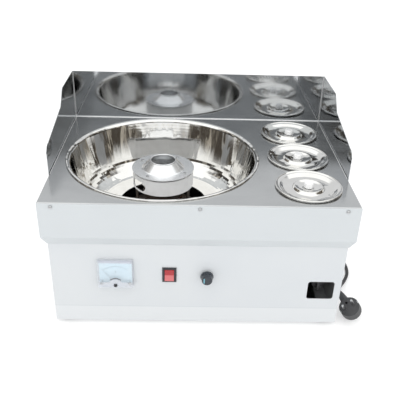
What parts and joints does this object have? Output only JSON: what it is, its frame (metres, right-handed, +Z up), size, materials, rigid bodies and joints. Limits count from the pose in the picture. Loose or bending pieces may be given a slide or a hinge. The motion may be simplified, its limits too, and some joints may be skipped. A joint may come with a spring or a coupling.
{
  "type": "candy floss machine",
  "caption": "Tabletop gas-heated candy floss machine: spinner head in a sunk steel bowl, lidded sugar pots, splash guard and front controls.",
  "frame": {"origin": "on the surface the machine stands on, under the middle of the case", "axes": "+Z up, the control panel faces -Y, +X to the right of a person facing the panel"},
  "size_m": [0.6068, 0.502, 0.368],
  "materials": {
    "stainless_satin": "satin brushed stainless sheet",
    "stainless_mirror": "mirror-polished stainless",
    "stainless_dark_mirror": "bright-annealed stainless sheet",
    "case_sheet": "smooth pale grey-white sheet",
    "zinc_steel": "zinc-plated steel",
    "screw_steel": "plated steel",
    "burnt_steel": "heat-darkened steel",
    "spun_aluminium": "spun and polished aluminium",
    "cast_alloy": "cast alloy",
    "brass": "machined brass",
    "copper": "bent copper tube",
    "black_rubber": "matte rubber",
    "black_plastic": "fine-grained black plastic",
    "knob_plastic": "glossy black plastic",
    "red_plastic": "glossy translucent red",
    "meter_plastic": "pale plastic",
    "dial_card": "printed card",
    "needle_black": "thin painted strip",
    "clear_acrylic": "clear moulded acrylic",
    "cord_pvc": "black PVC sheath",
    "plug_rubber": "moulded charcoal rubber"
  },
  "bodies": {
    "cabinet": {"top_tray": "stainless_satin", "tray_brackets": "zinc_steel", "case_screws": "screw_steel", "lower_case": "case_sheet", "base_plate": "zinc_steel", "rubber_feet": "black_rubber", "splash_guard": "stainless_dark_mirror", "guard_rivets": "screw_steel", "bearing_outer": "screw_steel", "bearing_housing": "cast_alloy", "flame_guard": "stainless_satin", "guard_legs": "burnt_steel", "burner_plate": "burnt_steel", "plate_pillars": "zinc_steel", "burner_ring": "burnt_steel", "gas_pipe": "copper", "gas_valve": "brass", "valve_bracket": "zinc_steel", "gas_inlet": "brass", "motor_housing": "zinc_steel", "motor_bracket": "zinc_steel", "motor_screws": "screw_steel", "meter_housing": "meter_plastic", "meter_dial": "dial_card", "meter_mask": "meter_plastic", "meter_cover": "clear_acrylic", "meter_screws": "screw_steel", "switch_body": "black_plastic", "speed_control": "cast_alloy", "speed_nut": "screw_steel", "supply_box": "zinc_steel", "terminal_block": "meter_plastic", "cord_gland": "black_rubber", "strain_relief": "black_rubber", "mains_cord": "cord_pvc", "cord_coil": "cord_pvc", "plug_body": "plug_rubber", "plug_contacts": "screw_steel"},
    "lift_out_bowl": {"bowl": "stainless_mirror"},
    "spinner": {"spinner_dish": "spun_aluminium", "spinner_cover": "spun_aluminium", "spinner_fasteners": "screw_steel", "drive_shaft": "screw_steel", "motor_shaft": "screw_steel", "shaft_coupling": "zinc_steel", "bearing_inner": "screw_steel"},
    "gas_tap": {"valve_knob": "black_plastic"},
    "pointer": {"meter_needle": "needle_black"},
    "zero_trim": {"zero_screw": "black_plastic"},
    "rocker": {"switch_rocker": "red_plastic"},
    "speed_dial": {"speed_knob": "knob_plastic"},
    "pot_1": {"sugar_pot_1": "stainless_mirror"},
    "lid_1": {"pot_lid_1": "stainless_mirror", "lid_knob_1": "spun_aluminium"},
    "pot_2": {"sugar_pot_2": "stainless_mirror"},
    "lid_2": {"pot_lid_2": "stainless_mirror", "lid_knob_2": "spun_aluminium"},
    "pot_3": {"sugar_pot_3": "stainless_mirror"},
    "lid_3": {"pot_lid_3": "stainless_mirror", "lid_knob_3": "spun_aluminium"}
  },
  "joints": [
    {"name": "spinner_turn", "type": "hinge", "parent": "cabinet", "child": "spinner", "pos_m": [-0.07, -0.001, 0.2], "axis": [0, 0, 1], "continuous": true},
    {"name": "bowl_lift", "type": "slide", "parent": "cabinet", "child": "lift_out_bowl", "axis": [0, 0, 1], "range_m": [0, 0.125]},
    {"name": "switch_rock", "type": "hinge", "parent": "cabinet", "child": "rocker", "pos_m": [-0.0516, -0.187, 0.1152], "axis": [1, 0, 0], "range_deg": [0, 18]},
    {"name": "speed_turn", "type": "hinge", "parent": "cabinet", "child": "speed_dial", "pos_m": [0.016, -0.2, 0.1145], "axis": [0, 1, 0], "range_deg": [0, 280]},
    {"name": "gas_tap_turn", "type": "hinge", "parent": "cabinet", "child": "gas_tap", "pos_m": [0.226, -0.15, 0.0835], "axis": [0, 1, 0], "range_deg": [0, 90]},
    {"name": "pointer_swing", "type": "hinge", "parent": "cabinet", "child": "pointer", "pos_m": [-0.1475, -0.1929, 0.1], "axis": [0, 1, 0], "range_deg": [0, 80], "stiffness_Nm_per_rad": 0.0004, "springref_deg": -5.73},
    {"name": "zero_trim_turn", "type": "hinge", "parent": "cabinet", "child": "zero_trim", "pos_m": [-0.1475, -0.199, 0.098], "axis": [0, 1, 0], "range_deg": [-60, 60]},
    {"name": "pot_1_lift", "type": "slide", "parent": "cabinet", "child": "pot_1", "axis": [0, 0, 1], "range_m": [0, 0.11]},
    {"name": "lid_1_lift", "type": "slide", "parent": "pot_1", "child": "lid_1", "axis": [0, 0, 1], "range_m": [0, 0.06]},
    {"name": "pot_2_lift", "type": "slide", "parent": "cabinet", "child": "pot_2", "axis": [0, 0, 1], "range_m": [0, 0.11]},
    {"name": "lid_2_lift", "type": "slide", "parent": "pot_2", "child": "lid_2", "axis": [0, 0, 1], "range_m": [0, 0.06]},
    {"name": "pot_3_lift", "type": "slide", "parent": "cabinet", "child": "pot_3", "axis": [0, 0, 1], "range_m": [0, 0.11]},
    {"name": "lid_3_lift", "type": "slide", "parent": "pot_3", "child": "lid_3", "axis": [0, 0, 1], "range_m": [0, 0.06]}
  ]
}
